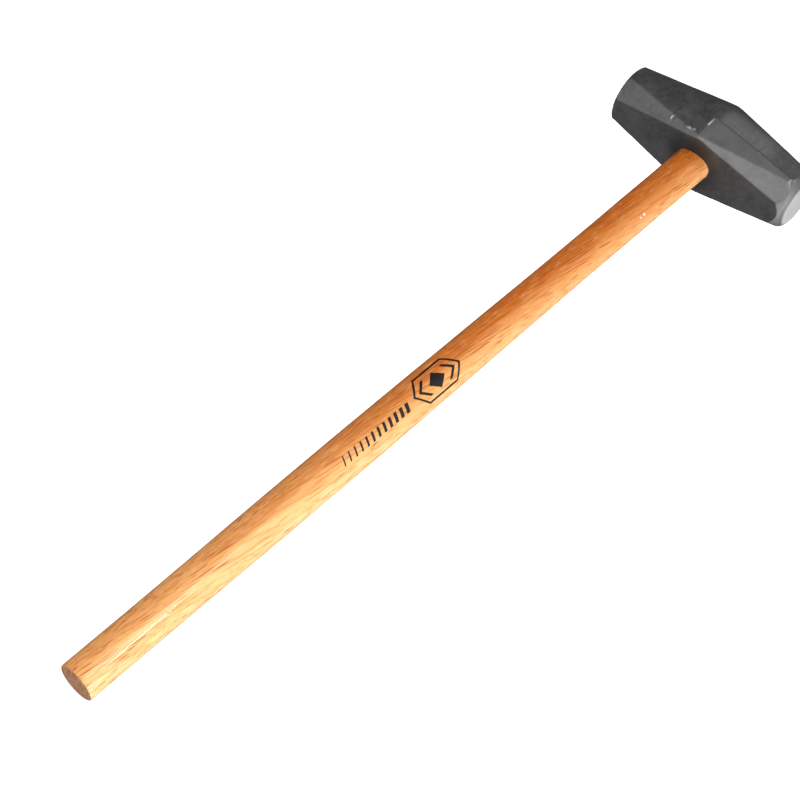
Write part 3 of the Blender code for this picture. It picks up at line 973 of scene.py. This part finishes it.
def head_material():
    """Dark scaled forging, with bare ground steel on both ends."""
    shader = Shader("head_forged_steel")
    place = shader.place()
    facing = shader.facing()
    ground = shader.attribute("ground")
    x = shader.axis(place, "X")
    level = shader.maths("ABSOLUTE", shader.axis(facing, "Z"))
    # height above the cheek's middle, turned over on the hidden cheek as the relief is
    height = shader.maths("SUBTRACT", shader.axis(place, "Z"), HEAD_CENTRE_Z)
    height = shader.times(height, shader.maths("SIGN", shader.axis(place, "Y")))
    line = shader.maths("ADD", shader.times(x, SEAM_RISE), SEAM_HEIGHT)
    below = shader.maths("SUBTRACT", line, height)

    clouds = shader.noise(place, *CLOUDS)
    blotches = shader.noise(place, *BLOTCHES)
    grit = shader.noise(place, *GRIT)
    specks = shader.noise(place, *SPECKS)
    skin = shader.mix(shader.window(clouds, *CLOUD_RANGE), DARK_SCALE, PALE_SCALE)
    blotched = shader.times(shader.window(blotches, *BLOTCH_RANGE), BLOTCH_SHARE)
    skin = shader.mix(blotched, skin, BARE_SPECK)
    skin = shader.mix(shader.window(specks, *SPECK_RANGE), skin, BARE_SPECK)

    rows = shader.streaks(place, *BRUSH_ROWS)
    band = shader.times(shader.window(x, *BAND_START), shader.window(below, *BAND_EDGE))
    band = shader.times(band, shader.window(height, *BAND_FADE))
    fresh = shader.span(shader.window(x, *BAND_DULLING), *BAND_SHARE)
    bright_rows = shader.span(shader.window(rows, *ROW_RANGE), *ROW_SHARE)
    skin = shader.mix(shader.times(bright_rows, shader.times(band, fresh)), skin, BRUSHED_SCALE)

    slanted = shader.window(level, *SLANT_RANGE)
    # painted light: the scale paler to the right of the pad, towards the key light, and a little on
    # the chamfers
    painted_lit = shader.times(shader.window(x, PAD_X[1], PAD_X[1] + PAD_WALL),
                        shader.window(below, *LIT_EDGE))
    painted_lit = shader.span(painted_lit, shader.times(slanted, LIT_LEFT), shader.span(slanted, *LIT_RIGHT))
    painted_lit = shader.times(painted_lit, shader.window(level, *LIT_LEVEL))
    painted_lit = shader.times(painted_lit, shader.span(clouds, *LIT_CLOUDS))
    skin = shader.mix(painted_lit, skin, LIT_SCALE)

    # painted shade in the corner under the step's wall
    groove_shade = shader.times(shader.window(below, *GROOVE_TOP), shader.window(below, *GROOVE_FOOT))
    groove_shade = shader.times(groove_shade, shader.window(x, *GROOVE_START))
    skin = shader.mix(groove_shade, skin, SEAM_SHADE)
    # painted highlight on the burr lip, the pad's wall and proud die marks, these partly rubbed
    # bare
    skin = shader.mix(shader.attribute("rub_and_glint"), skin, RUB_AND_GLINT_STEEL)

    # painted shadow round the eye's mouth, and painted shade over both sides that the handle goes
    # through
    upward = shader.window(level, *LEVEL_RANGE)
    eye_mouth = (0.0, 0.0, HEAD_TOP_Z)
    shaded_level = shader.times(shader.window(shader.distance(place, eye_mouth), *EYE_SHADOW_REACH), upward)
    shaded_level = shader.maths("ADD", shader.times(shaded_level, EYE_SHADOW_SHARE), shader.times(upward, LEVEL_SHARE))
    skin = shader.mix(shaded_level, skin, LEVEL_SHADE)

    scratches = shader.streaks(place, *SCRATCHES)
    steel = shader.mix(shader.window(scratches, *SCRATCH_RANGE), STEEL_DARK, STEEL_PALE)
    endward = shader.maths("ABSOLUTE", shader.axis(facing, "X"))
    steel = shader.mix(shader.window(endward, *STRUCK_RANGE), BEVEL_STEEL, steel)
    shader.output("Base Color", shader.mix(ground, skin, steel))
    shader.output("Metallic", shader.span(ground, *HEAD_METALLIC))
    dull = shader.span(clouds, *SCALE_ROUGHNESS)
    fine = shader.span(scratches, *STEEL_ROUGHNESS)
    shader.output("Roughness", shader.mix_numbers(ground, dull, fine))

    forged_height = shader.maths("ADD", grit, shader.times(specks, SPECK_HEIGHT))
    bumps = shader.bump(forged_height, *SKIN_BUMP)
    bumps = shader.bump(shader.times(rows, band), *ROW_BUMP, bumps)
    bumps = shader.bump(shader.times(scratches, ground), *SCRATCH_BUMP, bumps)
    shader.output("Normal", bumps)
    return shader.material


def grain_place(shader, place):
    """Object coordinates sheared so that Z follows the grain."""
    x, y, z = (shader.axis(place, name) for name in "XYZ")
    drift_x = shader.times(z, GRAIN_SLOPE * GRAIN_DRIFT[0])
    drift_y = shader.times(z, GRAIN_SLOPE * GRAIN_DRIFT[1])
    return shader.add("ShaderNodeCombineXYZ", {
        "X": shader.maths("ADD", x, drift_x), "Y": shader.maths("ADD", y, drift_y), "Z": z,
    }).outputs[0]


def wood_material(name, varnish):
    """Reddish open-pored hardwood with the grain running off the axis."""
    shader = Shader(name)
    place = shader.place()
    grain = grain_place(shader, place)
    z = shader.axis(place, "Z")
    bands = shader.streaks(grain, *GROWTH_BANDS)
    fibres = shader.streaks(grain, *FIBRES)
    pores = shader.streaks(grain, *PORES)
    crowd = shader.streaks(grain, *CROWDING)
    flecks = shader.streaks(place, *FLECKS)

    # painted light on the side towards the key light and painted shade on the side away from it,
    # fibres included
    pale_x = shader.times(shader.axis(place, "X"), LIGHT_SIDE[0])
    pale_y = shader.times(shader.axis(place, "Y"), LIGHT_SIDE[1])
    lightward = shader.maths("ADD", pale_x, pale_y)
    colour = shader.mix(shader.window(z, *RED_TO_PALE), WOOD_HEAD, WOOD_BUTT)
    lit_amount = shader.times(shader.window(lightward, *LIT_REACH),
                         shader.span(shader.window(z, *LIT_HEIGHT), *LIT_SHARE))
    colour = shader.mix(lit_amount, colour, WOOD_LIT)
    deep = shader.times(shader.window(lightward, *SHADED_REACH),
                        shader.span(shader.window(z, *SHADED_HEIGHT), *SHADED_SHARE))
    colour = shader.mix(deep, colour, WOOD_SHADED)
    fibre = shader.mix(deep, LIT_FIBRE, SHADED_FIBRE)
    for pattern, shown, share, tint in (
        (flecks, FLECK_RANGE, FLECK_SHARE, WOOD_FLECK),
        (bands, GROWTH_RANGE, GROWTH_SHARE, fibre),
        (fibres, FIBRE_RANGE, FIBRE_SHARE, fibre),
    ):
        colour = shader.mix(shader.times(shader.window(pattern, *shown), share), colour, tint)
    cut = shader.maths("SUBTRACT", PORE_CUT, shader.times(crowd, PORE_CROWDING))
    over = shader.maths("SUBTRACT", pores, cut)
    strokes = shader.maths("MULTIPLY", over, PORE_SHARPNESS, clamp=True)
    colour = shader.mix(shader.times(strokes, PORE_SHARE), colour, WOOD_PORE)

    # painted highlight in two dents, partly flaked varnish
    for height, degrees, radius, _ in GLINTING_DENTS if varnish else ():
        away = shader.distance(place, handle_point(height, math.radians(degrees)))
        glint_spot = shader.window(away, *(edge * radius for edge in DENT_GLINT_EDGE))
        colour = shader.mix(shader.times(glint_spot, DENT_GLINT_SHARE), colour, DENT_GLINT)

    level = shader.maths("ABSOLUTE", shader.axis(shader.facing(), "Z"))
    end_grain = shader.window(level, *END_LEVEL)
    rings = shader.window(shader.streaks(place, *END_RINGS), *END_RING_RANGE)
    end_colour = shader.mix(rings, WOOD_END, WOOD_END_DARK)
    shader.output("Base Color", shader.mix(end_grain, colour, end_colour))
    shader.output("Roughness", shader.span(fibres, *WOOD_ROUGHNESS))
    if varnish:
        shader.output("Coat Weight", shader.span(end_grain, *COAT_WEIGHT))
        shader.constant("Coat Roughness", COAT_ROUGHNESS)
        shader.constant("Specular IOR Level", VARNISH_SPECULAR)
    height = shader.maths("SUBTRACT", fibres, shader.times(strokes, PORE_DEPTH))
    bumps = shader.bump(height, *GRAIN_BUMP)
    bumps = shader.bump(shader.noise(place, *VARNISH_RIPPLE), *RIPPLE_BUMP, bumps)
    shader.output("Normal", bumps)
    return shader.material


def wedge_steel_material():
    """Rolled steel with a scuffed skin."""
    shader = Shader("wedge_rolled_steel")
    place = shader.place()
    clouds = shader.noise(place, *WEDGE_CLOUDS)
    lines = shader.streaks(place, *WEDGE_LINES)
    colour = shader.mix(shader.window(clouds, *CLOUD_RANGE), WEDGE_DARK, WEDGE_PALE)
    shader.output("Base Color", colour)
    shader.output("Roughness", shader.span(clouds, *WEDGE_ROUGHNESS))
    shader.constant("Metallic", WEDGE_METALLIC)
    shader.output("Normal", shader.bump(lines, *WEDGE_BUMP))
    return shader.material


def ink_material():
    """Black printing ink, slightly broken by the grain under it."""
    shader = Shader("black_ink")
    gaps = shader.streaks(grain_place(shader, shader.place()), *INK_GAPS)
    shader.output("Base Color", shader.mix(shader.window(gaps, *INK_RANGE), INK_BLACK, INK_WORN))
    shader.output("Roughness", shader.span(gaps, *INK_ROUGHNESS))
    shader.output("Normal", shader.bump(gaps, *INK_BUMP))
    return shader.material


def floor_material():
    """Pale paper that glows white for the camera and doesn't light the tool."""
    shader = Shader("pale_floor")
    mottle = shader.noise(shader.place(), *PAPER_MOTTLE)
    shader.output("Base Color", shader.mix(mottle, PAPER_DARK, PAPER_PALE))
    shader.constant("Roughness", PAPER_ROUGHNESS)
    shader.constant("Specular IOR Level", 0.0)
    shader.constant("Emission Color", WHITE)
    shader.output("Emission Strength", shader.add("ShaderNodeLightPath").outputs["Is Camera Ray"])
    return shader.material


def aimed(place, aim):
    """A rotation that looks from one point to another, level with the floor."""
    return (Vector(aim) - Vector(place)).to_track_quat("-Z", "Y").to_matrix().to_4x4()


def make_lights():
    """Soft boxes round the tool, and a room that is dim to it and white to the camera."""
    for name, aim_height, round_degrees, up_degrees, distance, size, watts in LIGHTS:
        data = bpy.data.lights.new(name, "AREA")
        data.shape = "SQUARE"
        data.size = size
        data.energy = watts
        turn, rise = math.radians(round_degrees), math.radians(up_degrees)
        aim = Vector((0.0, 0.0, aim_height))
        place = aim + distance * Vector((
            math.cos(turn) * math.cos(rise), math.sin(turn) * math.cos(rise), math.sin(rise)
        ))
        lamp = bpy.data.objects.new(name, data)
        lamp.matrix_world = Matrix.Translation(place) @ aimed(place, aim)
        bpy.context.scene.collection.objects.link(lamp)
    world = bpy.data.worlds.new("studio")
    world.use_nodes = True
    tree = world.node_tree
    seen = tree.nodes.new("ShaderNodeLightPath").outputs["Is Camera Ray"]
    strength = tree.nodes.new("ShaderNodeMapRange")
    strength.inputs["To Min"].default_value = WORLD_GLOW
    tree.links.new(seen, strength.inputs["Value"])
    background = tree.nodes["Background"]
    background.inputs["Color"].default_value = WHITE
    tree.links.new(strength.outputs["Result"], background.inputs["Strength"])
    bpy.context.scene.world = world


def make_floor():
    """A wide pale floor under the head, which the varnish doesn't mirror."""
    bm = bmesh.new()
    cells = FLOOR_CELLS
    bmesh.ops.create_grid(bm, x_segments=cells, y_segments=cells, size=FLOOR_SIZE / 2.0)
    floor = outward_object(bm, "floor")
    floor.location.z = cad_box[0][2] - FLOOR_CLEARANCE
    floor.data.materials.append(floor_material())
    floor.visible_glossy = False


def make_camera():
    """The camera, turned about its own axis as the tool is shown."""
    data = bpy.data.cameras.new("camera")
    data.sensor_width = CAMERA_SENSOR
    data.lens = CAMERA_LENS
    data.shift_x, data.shift_y = CAMERA_SHIFT
    camera = bpy.data.objects.new("camera", data)
    roll = Matrix.Rotation(CAMERA_ROLL, 4, "Z")
    camera.matrix_world = Matrix.Translation(CAMERA_PLACE) @ aimed(CAMERA_PLACE, CAMERA_AIM) @ roll
    bpy.context.scene.collection.objects.link(camera)
    bpy.context.scene.camera = camera


def finish_piece(piece, material, slot, *nodes):
    """Give a piece its material and its body, and hide the nodes it stands for; the slot is not
    used.
    """
    piece.data.materials.clear()
    piece.data.materials.append(material)
    if nodes:
        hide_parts(*nodes)
    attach(piece, "root")


def paint_node(name, material):
    """Give a CAD node that stays a better material."""
    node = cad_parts[name]
    node.data.materials.clear()
    node.data.materials.append(material)


def main():
    """Make every piece, the stage and the camera."""
    make_camera()
    make_lights()
    make_floor()
    wood = wood_material("varnished_hardwood", True)
    ink = ink_material()
    finish_piece(make_head(), head_material(), "forged_steel", "head")
    finish_piece(make_handle(), wood, "varnished_wood", "handle")
    ring = make_print("printed_ring", ring_polygons(), MARK_CENTRE_Z, MARK_ANGLE)
    finish_piece(ring, ink, "print_ink")
    bars = make_print("printed_bars", bar_polygons(), 0.0, BARS_ANGLE)
    finish_piece(bars, ink, "print_ink")
    paint_node("wood_wedge", wood_material("wedge_hardwood", False))
    wedge_steel = wedge_steel_material()
    for side in ("left", "right"):
        paint_node(f"steel_wedge_{side}", wedge_steel)
    bpy.context.scene.view_settings.view_transform = "Standard"


main()
